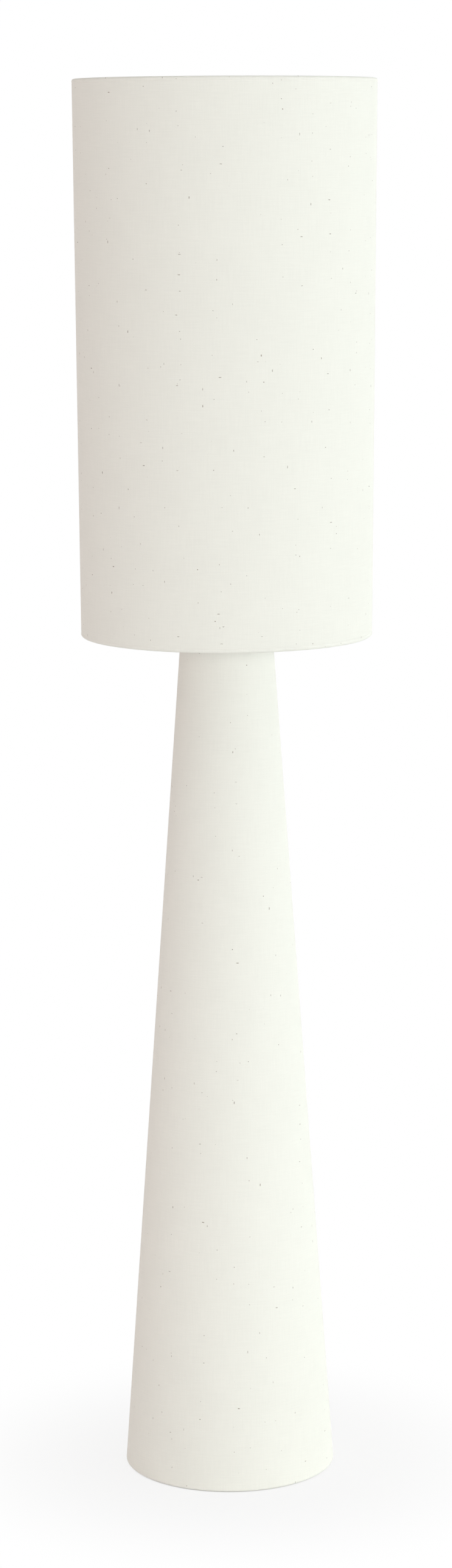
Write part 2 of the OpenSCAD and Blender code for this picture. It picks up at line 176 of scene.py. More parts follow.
scene.world = scene.world or bpy.data.worlds.new("surround")
scene.world.use_nodes = True
sky = Nodes(scene.world.node_tree)
seen = in_view(sky)
right, back, up = sky.parts(sky.add("ShaderNodeTexCoord", None, None, "Generated"))
band = abs((up - level_height) / level_spread) ** 2
band = band.math("EXPONENT", band * -1)
level = sky.vector("SCALE", sky.tint(sky.ease(right, *side_reach), left_light, right_light), band)
above = up.math("MAXIMUM", up, 0) ** overhead_narrowness
even = ambient_light + lower_light * (up < 0) + overhead_light * above
even = even + front_light * (0.5 - 0.5 * back) * band
even = sky.add("ShaderNodeCombineXYZ", None, {0: even, 1: even, 2: even})
light = sky.vector("ADD", level, even)
sky.feed(sky.tree.nodes["Background"].inputs["Color"], sky.tint(seen, light, (1, 1, 1)))

bpy.ops.object.select_all(action="DESELECT")
bpy.ops.mesh.primitive_circle_add(vertices=128, radius=floor_radius)
floor = bpy.context.object
floor.name = "floor"
bpy.ops.object.mode_set(mode="EDIT")
bpy.ops.mesh.extrude_region_move()
bpy.ops.transform.resize(value=(floor_opening / floor_radius,) * 3)
bpy.ops.mesh.select_all(action="SELECT")
bpy.ops.mesh.normals_make_consistent(inside=False)
bpy.ops.object.mode_set(mode="OBJECT")
if floor.data.polygons[0].normal.z < 0:
    floor.data.flip_normals()
floor_paint = bpy.data.materials.new("floor_paint")
floor_paint.use_nodes = True
ground = Nodes(floor_paint.node_tree)
ground.tree.nodes.remove(ground.tree.nodes["Principled BSDF"])
seen = in_view(ground)
spot = ground.add("ShaderNodeTexCoord", None, None, "Object")
side = ground.ease(ground.parts(spot)[0], *foot_sides)
reach = ground.add("ShaderNodeVectorMath", {"operation": "LENGTH"}, {0: spot}, "Value")
matt = ground.add("ShaderNodeBsdfDiffuse", None, {"Color": (floor_albedo,) * 3 + (1,)})
white = ground.add("ShaderNodeEmission", None, {"Color": (1, 1, 1, 1), "Strength": 1})
glow = (1 - seen) * foot_fill * (0.5 + side) * ground.ease(reach, *fill_reach)
fill = ground.add("ShaderNodeEmission", None, {"Strength": glow})
matt = ground.add("ShaderNodeAddShader", None, {0: matt, 1: fill})
whiteness = floor_white + (1 - floor_white) * ground.ease(reach, *white_reach)
glaring = seen * ground.ease(reach, *foot_edge) * whiteness
paper = ground.add("ShaderNodeMixShader", None, {0: glaring, 1: matt, 2: white})
below = ground.add("ShaderNodeNewGeometry", None, None, "Backfacing")
clear = ground.add("ShaderNodeBsdfTransparent")
paper = ground.add("ShaderNodeMixShader", None, {0: below, 1: paper, 2: clear})
ground.feed(ground.tree.nodes["Material Output"].inputs["Surface"], paper)
floor.data.materials.append(floor_paint)

# ---------------------------------------------------------------- base
# A turned wood-fibre disc with grey felt glued under it. A cast iron disc lies on
# it, inside the foot of the column, and keeps the lamp upright.
felt_grey = (0.115, 0.113, 0.11)
fibre_brown = (0.43, 0.3, 0.185)
iron_grey = (0.055, 0.056, 0.058)


def finish(name, **fixed):
    """A new material's nodes, with the shader's fixed sockets set."""
    material = bpy.data.materials.new(name)
    material.use_nodes = True
    nodes = Nodes(material.node_tree)
    nodes.material = material
    nodes.shader = nodes.tree.nodes["Principled BSDF"]
    for socket, value in fixed.items():
        nodes.feed(nodes.shader.inputs[socket.replace("_", " ")], value)
    return nodes


def lay(nodes, colour, roughness, height=None, relief=0.1):
    """Feeds what varies to the shader; relief is the height's depth in millimetres."""
    nodes.feed(nodes.shader.inputs["Base Color"], colour)
    nodes.feed(nodes.shader.inputs["Roughness"], roughness)
    if height is not None:
        bump = nodes.add("ShaderNodeBump", None, {"Distance": relief / 1000, "Height": height})
        nodes.feed(nodes.shader.inputs["Normal"], bump)
    return nodes.material


def grain(nodes, place, size, detail=2.0):
    """Cloudy noise about 0, whose patches are about size millimetres across."""
    if isinstance(size, (int, float)):
        size = (size,) * 3
    place = nodes.vector("MULTIPLY", place, [1 / s for s in size])
    return nodes.add("ShaderNodeTexNoise", None, {"Vector": place, "Scale": 1, "Detail": detail}) - 0.5


def on_object(nodes):
    """Object coordinates in millimetres."""
    return nodes.vector("MULTIPLY", nodes.add("ShaderNodeTexCoord", None, None, "Object"), (1000,) * 3)


def darker(colour, share):
    return tuple(c * share for c in colour)


def coat(piece, material):
    """Gives a piece, or a CAD node's own slots, its material."""
    if not piece.material_slots:
        piece.data.materials.append(material)
    for slot in piece.material_slots:
        slot.material = material


felt = finish("grey_felt", Specular_IOR_Level=0.1, Sheen_Weight=0.3)
spot = on_object(felt)
hair = grain(felt, spot, (0.5, 5, 1), 4) + grain(felt, spot, (5, 0.5, 1), 4)
lay(felt, felt.tint(0.5 + 1.6 * hair, darker(felt_grey, 0.6), darker(felt_grey, 1.6)), 0.95 + 0.05 * hair,
    hair, 0.5)
coat(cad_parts["floor_felt"], felt.material)

fibre = finish("wood_fibre_board", Specular_IOR_Level=0.2)
spot = on_object(fibre)
chip = grain(fibre, spot, (1.2, 1.2, 0.35), 5)
lay(fibre, fibre.tint(0.5 + 1.8 * chip, darker(fibre_brown, 0.75), darker(fibre_brown, 1.2)),
    0.8 + 0.2 * chip, chip, 0.15)
coat(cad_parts["base_disc"], fibre.material)

iron = finish("cast_iron", Specular_IOR_Level=0.5)
spot = on_object(iron)
pits = grain(iron, spot, 1.4, 6)
lay(iron, iron.tint(0.5 + 1.4 * grain(iron, spot, 18, 3), darker(iron_grey, 0.7), darker(iron_grey, 1.5)),
    0.62 + 0.3 * pits, pits, 0.5)
coat(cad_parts["ballast_disc"], iron.material)

# ---------------------------------------------------------------- tie rod
# A zinc-plated threaded tube ties base, cone and cap together with three nuts on
# washers, and carries the lampholder over a plain sleeve. Its bore is the cord's way up.
zinc_colour = (0.66, 0.66, 0.64)
rod_pitch = 1.0
edge_break = 0.35


def apply_modifier(piece, kind, **settings):
    """Adds a modifier, sets it and applies it."""
    bpy.context.view_layer.objects.active = piece
    bpy.ops.object.modifier_add(type=kind)
    modifier = piece.modifiers[-1]
    for name, value in settings.items():
        setattr(modifier, name, value)
    bpy.ops.object.modifier_apply(modifier=modifier.name)


def smooth(piece, degrees=32):
    bpy.ops.object.select_all(action="DESELECT")
    piece.select_set(True)
    bpy.context.view_layer.objects.active = piece
    bpy.ops.object.shade_smooth_by_angle(angle=math.radians(degrees))


def softened(node, width):
    """A copy of a CAD node, its loose triangles joined and its edges rounded."""
    bpy.ops.object.select_all(action="DESELECT")
    piece = bpy.data.objects.new(node + "_worked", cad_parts[node].data.copy())
    scene.collection.objects.link(piece)
    piece.select_set(True)
    bpy.context.view_layer.objects.active = piece
    bpy.ops.object.mode_set(mode="EDIT")
    bpy.ops.mesh.select_all(action="SELECT")
    bpy.ops.mesh.remove_doubles(threshold=1e-6)
    bpy.ops.mesh.dissolve_limited(angle_limit=math.radians(1))
    bpy.ops.object.mode_set(mode="OBJECT")
    apply_modifier(piece, "BEVEL", width=width / 1000, segments=2, limit_method="ANGLE",
                   angle_limit=math.radians(30))
    smooth(piece)
    return piece


def plated(name, colour, thread=0.0):
    """Bright plated metal with the faint rings of turning, or with a screw thread."""
    nodes = finish(name, Metallic=1.0)
    spot = on_object(nodes)
    x, y, z = nodes.parts(spot)
    bloom = grain(nodes, spot, 6, 4)
    rings = grain(nodes, spot, (9, 9, 0.25), 2)
    if thread:
        turn = y.math("ARCTAN2", y, x) / (2 * math.pi)
        ridge = abs((z / thread - turn).math("FRACT", z / thread - turn) - 0.5) * 2
        height, relief = ridge, 0.5 * thread
    else:
        height, relief = rings, 0.02
    return lay(nodes, nodes.tint(0.5 + 1.5 * bloom, darker(colour, 0.86), darker(colour, 1.08)),
               0.36 + 0.16 * bloom + 0.08 * rings, height, relief)


zinc = plated("zinc_plate", zinc_colour)
coat(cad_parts["tie_rod"], plated("zinc_plate_threaded", zinc_colour, rod_pitch))
for node in ("rod_washers", "rod_nuts", "riser_sleeve"):
    fitting = softened(node, edge_break)
    coat(fitting, zinc)
    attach(fitting, "stand")
    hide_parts(node)

# ---------------------------------------------------------------- column
# The cone is wound from grey board and glued round the base's plug. A disc of
# painted wood fibre closes its top.
board_colour = (0.36, 0.31, 0.24)
paint_white = (0.84, 0.83, 0.8)

board = finish("wound_board", Specular_IOR_Level=0.15)
spot = on_object(board)
pulp = grain(board, spot, (0.8, 0.8, 2.5), 4)
lay(board, board.tint(0.5 + 1.3 * pulp, darker(board_colour, 0.8), darker(board_colour, 1.15)),
    0.85 + 0.1 * pulp, pulp, 0.08)
coat(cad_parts["column_liner"], board.material)

paint = finish("matt_paint_on_fibre", Specular_IOR_Level=0.3)
spot = on_object(paint)
stipple = grain(paint, spot, 0.9, 3)
lay(paint, paint.tint(0.5 + 0.9 * grain(paint, spot, 24, 3), darker(paint_white, 0.96), paint_white),
    0.6 + 0.2 * stipple, stipple, 0.08)
coat(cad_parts["cap_disc"], paint.material)

# ---------------------------------------------------------------- column cloth
# Flecked ivory cotton, cut as a sector and rolled round the board cone. It is
# glued down with a lap at the back and folded under the base and over the cap.
column_height = 1040.0
column_foot_r = 122.0
column_taper = 74.0 / 1040.0
cloth_t = 0.8
lap = 12.0
lap_run = 3.5
lap_slope = 3.2
hem_z = 1.2
fold_w = 12.0
outlet_z = 13.0
outlet_cut_r = 5.6
thread_pitch = 0.56
cotton_colour = (0.86, 0.858, 0.785)
cotton_lift = 1.02
fleck_colour = (0.25, 0.2, 0.14)
column_flecks = 0.15
# How much darker the cloth is painted along its rolled edge and hem: painted shade.
painted_edge_shade_depth = 0.07


def rolled_sheet(name, outline, half_angle, lift, columns, marks=()):
    """Rolls a flat sheet round the Z axis into the shape of its outer outline.

    outline runs from the top to the bottom as (radius, height) in millimetres, and
    half_angle is the cone's, negative where it is wider at the top.
    The ends lap at the back, where the upper one stands off by lift. The UV map
    is the flat cut, scaled to a unit square; its size comes back in metres.
    """
    ends = [0, 0.6, lap / 2, lap, lap + 1, lap + 2, lap + lap_run]
    inner = ends[-1] - lap / 2
    marked = sorted([i / columns for i in range(1, columns)] + [0.5 + 0.5 * m for m in marks])
    places = [("low", s) for s in ends] + [("main", t) for t in marked] + [("high", s) for s in ends[::-1]]
    bpy.ops.object.select_all(action="DESELECT")
    bpy.ops.mesh.primitive_grid_add(
        x_subdivisions=len(places) - 1, y_subdivisions=len(outline) - 1, size=1
    )
    sheet = bpy.context.object
    sheet.name = sheet.data.name = name
    mesh = sheet.data

    runs = [0.0]
    for a, b in zip(outline, outline[1:]):
        runs.append(runs[-1] + math.dist(a, b))
    widest = max(range(len(outline)), key=lambda j: outline[j][0])
    sense = math.copysign(1, half_angle)
    reach = outline[widest][0] / math.sin(abs(half_angle)) - sense * runs[widest]

    def placed(i, j):
        side, t = places[i]
        r, z = outline[j]
        edge = math.pi - inner / r
        angle = {
            "low": -math.pi - (lap / 2 - t) / r,
            "main": (2 * t - 1) * edge,
            "high": math.pi + (lap / 2 - t) / r,
        }[side]
        before, after = outline[max(j - 1, 0)], outline[min(j + 1, len(outline) - 1)]
        run_r, run_z = after[0] - before[0], after[1] - before[1]
        size = math.hypot(run_r, run_z)
        ease = min(max((lap + lap_run - t) / lap_slope, 0), 1) if side == "high" else 0
        stand = lift * ease * ease * (3 - 2 * ease)
        r, z = r - run_z / size * stand, z + run_r / size * stand
        from_apex, swing = reach + sense * runs[j], angle * math.sin(abs(half_angle))
        flat = (from_apex * math.sin(swing), -sense * from_apex * math.cos(swing))
        return Vector((r * math.sin(angle), -r * math.cos(angle), z)) / 1000, flat

    flat_of = {}
    for v in mesh.vertices:
        i = round((v.co.x + 0.5) * (len(places) - 1))
        j = round((0.5 - v.co.y) * (len(outline) - 1))
        v.co, flat_of[v.index] = placed(i, j)
    low = [min(p[k] for p in flat_of.values()) for k in (0, 1)]
    size = [max(p[k] for p in flat_of.values()) - low[k] for k in (0, 1)]
    cut = mesh.uv_layers.active
    for loop in mesh.loops:
        p = flat_of[loop.vertex_index]
        cut.data[loop.index].uv = [(p[k] - low[k]) / size[k] for k in (0, 1)]
    middle = min(mesh.polygons, key=lambda f: (f.center - Vector((0, -1, mesh.vertices[0].co.z))).length)
    if middle.normal.y > 0:
        mesh.flip_normals()
    return sheet, (size[0] / 1000, size[1] / 1000)


def cut_out(piece, wanted):
    """Deletes the faces whose middle the test wants."""
    for thing in (*piece.data.vertices, *piece.data.edges, *piece.data.polygons):
        thing.select = False
    for face in piece.data.polygons:
        face.select = wanted(face.center * 1000)
    bpy.ops.object.mode_set(mode="EDIT")
    bpy.ops.mesh.select_mode(type="FACE")
    bpy.ops.mesh.delete(type="FACE")
    bpy.ops.mesh.select_mode(type="VERT")
    bpy.ops.object.mode_set(mode="OBJECT")


def flecks(nodes, place, length, breadth, spread, share):
    """Sparse specks, each about length by breadth, in cells spread times larger."""
    cell = nodes.vector("MULTIPLY", place, (1 / (length * spread), 1 / (breadth * spread), 0))
    settings = {"voronoi_dimensions": "2D", "feature": "F1"}
    inputs = {"Vector": cell, "Scale": 1, "Randomness": 1}
    near = nodes.add("ShaderNodeTexVoronoi", settings, inputs, "Distance")
    pick, strength, size = nodes.parts(nodes.add("ShaderNodeTexVoronoi", settings, inputs, "Color"))
    radius = (0.25 + 0.5 * size) / spread
    return nodes.ease(near / radius, 1.0, 0.55) * (pick < share) * (0.4 + 0.6 * strength)


def strayed(nodes, place, scale, reach):
    """The place on the cut cloth, led astray by noise over reach millimetres."""
    noise = nodes.add("ShaderNodeTexNoise", None, {"Vector": place, "Scale": scale, "Detail": 2}, "Color")
    noise = nodes.vector("MULTIPLY", nodes.vector("SUBTRACT", noise, (0.5,) * 3), (reach, reach, 0))
    return nodes.vector("ADD", place, noise)


def woven_cotton(name, width, length, fold_z, share):
    """Plain-woven cotton with dark seed flecks, on the cut cloth's own map.

    It is painted a little darker near the edge rolled over at height fold_z, as
    painted shade there, and share of the cells have a fleck.
    """
    nodes = finish(name, Specular_IOR_Level=0.2)
    _, _, height = nodes.parts(on_object(nodes))
    # Painted shade along the rolled edge: darker within a few millimetres of fold_z.
    painted_edge_shade = nodes.ease(abs(height - fold_z), 2.6, 1.0)
    cut = nodes.add("ShaderNodeUVMap")
    place = nodes.vector("MULTIPLY", cut, (width * 1000, length * 1000, 0))
    threads = strayed(nodes, place, 0.06, 1.2)
    across, along, _ = nodes.parts(nodes.vector("MULTIPLY", threads, (math.pi / thread_pitch,) * 3))
    warp, weft = (value.math("SINE", value) for value in (across, along))
    over = warp * weft
    weave = over.math("MAXIMUM", abs(warp) * (1 + over), abs(weft) * (1 - over)) * 0.5
    slub = grain(nodes, place, (1.3, 26, 1)) + grain(nodes, place, (26, 1.3, 1))
    cloud = grain(nodes, place, 45, 3)
    frayed = strayed(nodes, place, 1.6, 1.3)
    specks = flecks(nodes, frayed, 2.6, 0.8, 17, share)
    for size in ((0.9, 2.6, 17), (1.0, 1.0, 19)):
        shifted = nodes.vector("ADD", frayed, (size[0] * 311, size[1] * 173, 0))
        specks = specks.math("MAXIMUM", specks, flecks(nodes, shifted, *size, share))
    # Painted shade: the hollows between the threads are a little darker than their crowns; slubs and cloud
    # are the yarn's own tone.
    tone = 0.955 + 0.05 * weave + 0.05 * slub + 0.03 * cloud
    plain = nodes.vector("SCALE", [c * cotton_lift for c in cotton_colour], tone * (1 - painted_edge_shade_depth * painted_edge_shade))
    lay(nodes, nodes.tint(specks, plain, fleck_colour), 0.94 - 0.08 * weave, weave + slub * 0.5, 0.06)
    return nodes.material


def column_r(z):
    return column_foot_r - column_taper * z


rows = [2.4, 4] + list(range(6, 24, 2)) + [24, 27, 31] + [40 + 30 * i for i in range(34)] + [1037, 1038.6]
top_r = column_r(column_height)
outline = [(top_r - fold_w, column_height), (top_r - 8, column_height), (top_r - 4, column_height)]
outline += [(top_r - 1.2, column_height), (top_r - 0.45, column_height - 0.15)]
outline += [(top_r - 0.05, column_height - 0.6)]
outline += [(column_r(z), z) for z in sorted(rows, reverse=True)]
outline += [(column_foot_r - 0.25, hem_z + 0.5), (column_foot_r - 0.6, hem_z + 0.12)]
outline += [(column_foot_r - 1.4, hem_z)]
outline += [(column_foot_r - 4, hem_z), (column_foot_r - 8, hem_z), (column_foot_r - fold_w, hem_z)]
column_cloth, column_cut = rolled_sheet(
    "column_cloth", outline, math.atan(column_taper), cloth_t + 0.05, 208
)
cut_out(column_cloth, lambda c: c.y > 0 and math.hypot(c.x, c.z - outlet_z) < outlet_cut_r)
apply_modifier(column_cloth, "SOLIDIFY", thickness=cloth_t / 1000, offset=-1)
smooth(column_cloth, 40)
coat(column_cloth, woven_cotton("woven_cotton_column", *column_cut, hem_z, column_flecks))
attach(column_cloth, "stand")
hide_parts("column_cover")

# ---------------------------------------------------------------- cord grommet
# An ivory nylon grommet, snapped into the back of the foot. Its rolled flange
# hides the cut edge of the cloth, and the mains cord would pass through it.
grommet_ivory = (0.8, 0.77, 0.68)
grommet_outline = [
    (3.5, -14), (6.0, -14), (6.0, -0.9), (8.0, -0.9), (8.5, -0.4), (8.5, 0.5), (8.2, 1.2), (7.5, 1.75),
    (6.6, 2.0), (5.4, 2.0), (4.5, 1.8), (3.8, 1.3), (3.5, 0.6), (3.5, -14),
]


def turned(name, outline, steps=96):
    """A turned piece: a circle drawn along its outline of (radius, height)."""
    bpy.ops.object.select_all(action="DESELECT")
    radius, height = outline[0]
    bpy.ops.mesh.primitive_circle_add(vertices=steps, radius=radius / 1000, location=(0, 0, height / 1000))
    piece = bpy.context.object
    piece.name = piece.data.name = name
    bpy.ops.object.mode_set(mode="EDIT")
    for (r0, z0), (r1, z1) in zip(outline, outline[1:]):
        bpy.ops.mesh.extrude_region_move(TRANSFORM_OT_translate={"value": (0, 0, (z1 - z0) / 1000)})
        if r1 != r0:
            bpy.ops.transform.resize(value=(r1 / r0, r1 / r0, 1))
    bpy.ops.mesh.select_all(action="SELECT")
    bpy.ops.mesh.remove_doubles(threshold=2e-6)
    bpy.ops.mesh.normals_make_consistent(inside=False)
    bpy.ops.object.mode_set(mode="OBJECT")
    bpy.ops.object.transform_apply(location=True, rotation=True, scale=True)
    return piece


def moulded(name, colour, roughness):
    """Moulded plastic: nearly even, with a fine skin and faint cloudiness."""
    nodes = finish(name, Specular_IOR_Level=0.5)
    spot = on_object(nodes)
    skin = grain(nodes, spot, 0.6, 1)
    cloud = grain(nodes, spot, 9, 3)
    return lay(nodes, nodes.tint(0.5 + 1.2 * cloud, darker(colour, 0.965), darker(colour, 1.02)),
               roughness + 0.12 * cloud + 0.05 * skin, skin, 0.005)


grommet = turned("cord_grommet_ring", grommet_outline, 64)
bpy.ops.transform.rotate(value=math.radians(90), orient_axis="X", center_override=(0, 0, 0))
bpy.ops.transform.translate(value=(0, column_r(outlet_z) / 1000, outlet_z / 1000))
bpy.ops.object.transform_apply(location=True, rotation=True, scale=True)
smooth(grommet)
coat(grommet, moulded("ivory_nylon", grommet_ivory, 0.4))
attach(grommet, "stand")
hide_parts("cord_grommet")

# ---------------------------------------------------------------- lampholder
# A standard white plastic holder, screwed on the tube and locked with a grub
# screw. Its upper part has grip ribs, a collar and the thread for the clamp ring.
holder_foot = 1062.7
holder_white = (0.83, 0.83, 0.81)
rib_count = 48
rib_depth = 0.35
skirt_pitch = 2.5
skirt_depth = 0.75
skirt_r = 19.75
skirt_step = 0.25
skirt_low = 35.2
skirt_high = 56.9
rib_r = 20.05
rib_low = 16.8
rib_high = 30.6
outer_wall_r = 19.5
grub_z = 3.0
grub_hole_r = 1.55
drill_l = 12.0
drill_y = 10.0


def lifted(outline, foot):
    return [(r, z + foot) for r, z in outline]


def rounded(piece, width):
    """Rounds a piece's sharp edges and shades it smooth."""
    apply_modifier(piece, "BEVEL", width=width / 1000, segments=2, limit_method="ANGLE",
                   angle_limit=math.radians(32))
    smooth(piece)


def cut_thread(piece, low, high, pitch, depth, least_radius, ends=(0, 0)):
    """Moves the outer rows between two heights in, along a right-hand screw.

    ends gives the groove's share of its depth at the low and the high end.
    """
    for v in piece.data.vertices:
        x, y, z = v.co * 1000
        radius = math.hypot(x, y)
        if radius < least_radius or not low < z < high:
            continue
        groove = 0.5 - 0.5 * math.cos(2 * math.pi * z / pitch - math.atan2(y, x))
        for end, run in zip(ends, (z - low, high - z)):
            groove = end + (groove - end) * min(run / pitch, 1)
        share = 1 - depth * groove / radius
        v.co.x, v.co.y = v.co.x * share, v.co.y * share


holder_cap = turned("lampholder_cap_moulding", lifted([
    (5.05, 0), (8.6, 0), (9, 0.4), (9, 5.2), (9.3, 6.1), (10, 7), (16.6, 12.8), (17.6, 13.9), (18, 15.2),
    (18, 22), (12.15, 22), (12.15, 20), (16, 20), (16, 15), (9, 8), (5.05, 8), (5.05, 0)], holder_foot))
bpy.ops.mesh.primitive_cylinder_add(
    vertices=32, radius=grub_hole_r / 1000, depth=drill_l / 1000,
    location=(0, drill_y / 1000, (holder_foot + grub_z) / 1000), rotation=(math.pi / 2, 0, 0))
drill = bpy.context.object
apply_modifier(holder_cap, "BOOLEAN", operation="DIFFERENCE", solver="EXACT", object=drill)
bpy.data.objects.remove(drill)
smooth(holder_cap)
skirt_rows = [(skirt_r, 35.3 + skirt_step * i) for i in range(86)]
rib_rows = [(rib_r, z) for z in (16.6, 17.0, 20, 24, 28, 30.4, 30.8)]
holder_body = turned("lampholder_body_moulding", lifted(
    [(18.05, 15), (skirt_r, 15), (rib_r, 15.3)] + rib_rows
    + [(rib_r, 31.6), (20.4, 32), (24.6, 32), (25, 32.4), (25, 34.1), (24.6, 34.5)]
    + [(19.9, 34.5), (skirt_r, 34.7)] + skirt_rows
    + [(18.7, 57), (14.15, 57), (14.15, 55), (17.75, 55), (17.75, 22), (18.05, 22), (18.05, 15)],
    holder_foot), 3 * rib_count)
cut_thread(holder_body, holder_foot + skirt_low, holder_foot + skirt_high, skirt_pitch, skirt_depth, 18.8,
           (0, 1))
for v in holder_body.data.vertices:
    x, y, z = v.co * 1000
    if rib_low < z - holder_foot < rib_high and math.hypot(x, y) > outer_wall_r:
        place = round(math.atan2(y, x) / (2 * math.pi) * 3 * rib_count)
        share = 1 - (rib_depth if place % 3 == 0 else 0) / rib_r
        v.co.x, v.co.y = v.co.x * share, v.co.y * share
smooth(holder_body, 40)
thermoplastic = moulded("white_thermoplastic", holder_white, 0.38)
for piece, node in ((holder_cap, "lampholder_cap"), (holder_body, "lampholder_body")):
    coat(piece, thermoplastic)
    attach(piece, "stand")
    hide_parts(node)
coat(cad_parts["cap_grub_screw"], zinc)

# ---------------------------------------------------------------- holder insert
# A glazed ceramic insert carries the live parts: brass terminal screws, the
# sprung contact and the screw shell that takes the bulb.
glaze_white = (0.86, 0.85, 0.82)
brass_colour = (0.78, 0.57, 0.26)
lamp_pitch = 3.629
lamp_depth = 1.15
shell_r = 13.5
shell_t = 0.4
shell_low = 31.0
shell_rows = 41
shell_step = 19.0 / shell_rows

ceramic = finish("glazed_ceramic", Specular_IOR_Level=0.5, Coat_Roughness=0.1)
spot = on_object(ceramic)
speck = grain(ceramic, spot, 0.7, 4)
ceramic.feed(ceramic.shader.inputs["Coat Weight"], 0.3 + 0.3 * speck)
lay(ceramic, ceramic.tint(0.5 + 1.6 * speck, darker(glaze_white, 0.93), glaze_white),
    0.36 + 0.12 * speck, speck, 0.03)
coat(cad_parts["lampholder_insert"], ceramic.material)
brass = plated("turned_brass", brass_colour)
for node in ("terminal_screws", "centre_contact"):
    coat(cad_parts[node], brass)
shell = turned("screw_shell_rolled", lifted(
    [(shell_r, shell_low), (shell_r + shell_t, shell_low)]
    + [(shell_r + shell_t, shell_low + shell_step * i) for i in range(1, shell_rows + 1)]
    + [(shell_r, shell_low + shell_step * i) for i in range(shell_rows, -1, -1)], holder_foot), 120)
shell_foot = holder_foot + shell_low
cut_thread(shell, shell_foot, shell_foot + shell_rows * shell_step, lamp_pitch, lamp_depth, 12)
smooth(shell, 50)
coat(shell, brass)
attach(shell, "stand")
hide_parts("screw_shell")

# ---------------------------------------------------------------- clamp ring
# The holder's white clamp ring, with grip flutes round it, screws down the
# thread and holds the shade's ring on the collar.
clamp = softened("clamp_ring", 0.3)
coat(clamp, thermoplastic)
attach(clamp, "clamp")
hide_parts("clamp_ring")

# ---------------------------------------------------------------- shade frame
# White powder-coated steel: a pressed ring that rests on the holder's collar,
# three wire arms welded to its rim, and the two wires in the shade's edges.
powder_white = (0.83, 0.83, 0.815)
fitter_level = 1097.2
arm_d = 4.0
arm_level = 1095.4
arm_start_r = 33.9
arm_bend_r = 52.1
bend_radius = 12.0
wire_r = 162.0
wire_z = 980.4
weld_reach = 1.2
bead_waver = 0.12

powder = finish("white_powder_coat", Specular_IOR_Level=0.45)
spot = on_object(powder)
peel = grain(powder, spot, 1.4, 1)
lay(powder, powder.tint(0.5 + 1.2 * grain(powder, spot, 14, 3), darker(powder_white, 0.97), powder_white),
    0.42 + 0.15 * peel, peel, 0.03)

fitter = turned("fitter_ring_pressing", lifted([
    (21, 0), (32.2, 0), (32.6, -0.1), (32.8, -0.5), (32.8, -3.8), (34, -3.8), (34, -0.6), (33.88, 0.15),
    (33.5, 0.75), (32.9, 1.1), (32.2, 1.2), (21, 1.2), (21, 0)], fitter_level), 128)
rounded(fitter, 0.15)
coat(fitter, powder.material)
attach(fitter, "shade")
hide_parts("fitter_ring")

run = Vector((wire_r - arm_bend_r, wire_z - arm_level)).normalized()
bend_run = bend_radius * math.tan(math.atan2(-run.y, run.x) / 2)
route = [Vector((arm_start_r, arm_level)), Vector((arm_bend_r - bend_run, arm_level))]
for i in range(1, 8):
    t = i / 8
    route.append((1 - t) ** 2 * Vector((arm_bend_r - bend_run, arm_level))
                 + 2 * t * (1 - t) * Vector((arm_bend_r, arm_level))
                 + t ** 2 * (Vector((arm_bend_r, arm_level)) + run * bend_run))
route.append(Vector((arm_bend_r, arm_level)) + run * bend_run)
route.append(Vector((wire_r, wire_z)) - run * weld_reach)
bpy.ops.object.select_all(action="DESELECT")
bpy.ops.mesh.primitive_circle_add(
    vertices=20, radius=arm_d / 2000, fill_type="NGON",
    location=(route[0].x / 1000, 0, route[0].y / 1000), rotation=(0, math.pi / 2, 0))
arms = bpy.context.object
arms.name = arms.data.name = "fitter_arm_wires"
bpy.ops.object.transform_apply(location=True, rotation=True, scale=True)
bpy.ops.object.mode_set(mode="EDIT")
heading = 0.0
for before, here, after in zip(route, route[1:], route[2:] + [2 * route[-1] - route[-2]]):
    step = (here - before) / 1000
    bpy.ops.mesh.extrude_region_move(TRANSFORM_OT_translate={"value": (step.x, 0, step.y)})
    way = (here - before).normalized() + (after - here).normalized()
    turn = math.atan2(-way.y, way.x) - heading
    heading += turn
    bpy.ops.transform.rotate(value=-turn, orient_axis="Y", center_override=(here.x / 1000, 0, here.y / 1000))
bpy.ops.mesh.select_all(action="SELECT")
bpy.ops.mesh.normals_make_consistent(inside=False)
bpy.ops.object.mode_set(mode="OBJECT")
beads = []
ring_bead = (34.3, arm_level - 0.3), (1.5, 3.0, 2.5)
wire_bead = (wire_r - 1.9, wire_z + 1.9), (2.3, 2.6, 2.3)
for (r, z), size in (ring_bead, wire_bead):
    bpy.ops.mesh.primitive_uv_sphere_add(
        segments=20, ring_count=12, radius=0.001, location=(r / 1000, 0, z / 1000), scale=size)
    bead = bpy.context.object
    bpy.ops.object.transform_apply(location=True, rotation=True, scale=True)
    for v in bead.data.vertices:
        away = v.co - Vector((r, 0, z)) / 1000
        v.co += away * bead_waver * math.sin(v.co.x * 5200) * math.sin(v.co.y * 4300 + v.co.z * 3900)
    beads.append(bead)
for piece in beads + [arms]:
    piece.select_set(True)
bpy.context.view_layer.objects.active = arms
bpy.ops.object.join()
bpy.ops.object.mode_set(mode="EDIT")
bpy.ops.mesh.select_all(action="SELECT")
bpy.ops.transform.rotate(value=math.radians(-90), orient_axis="Z", center_override=(0, 0, 0))
for _ in range(2):
    bpy.ops.mesh.duplicate()
    bpy.ops.transform.rotate(value=math.radians(120), orient_axis="Z", center_override=(0, 0, 0))
bpy.ops.object.mode_set(mode="OBJECT")
smooth(arms, 50)
if max(v.co.y for v in arms.data.vertices) < 0.15:
    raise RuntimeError("an arm has to point to the back")
coat(arms, powder.material)
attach(arms, "shade")
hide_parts("fitter_arms")
for node in ("top_wire", "bottom_wire"):
    coat(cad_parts[node], powder.material)

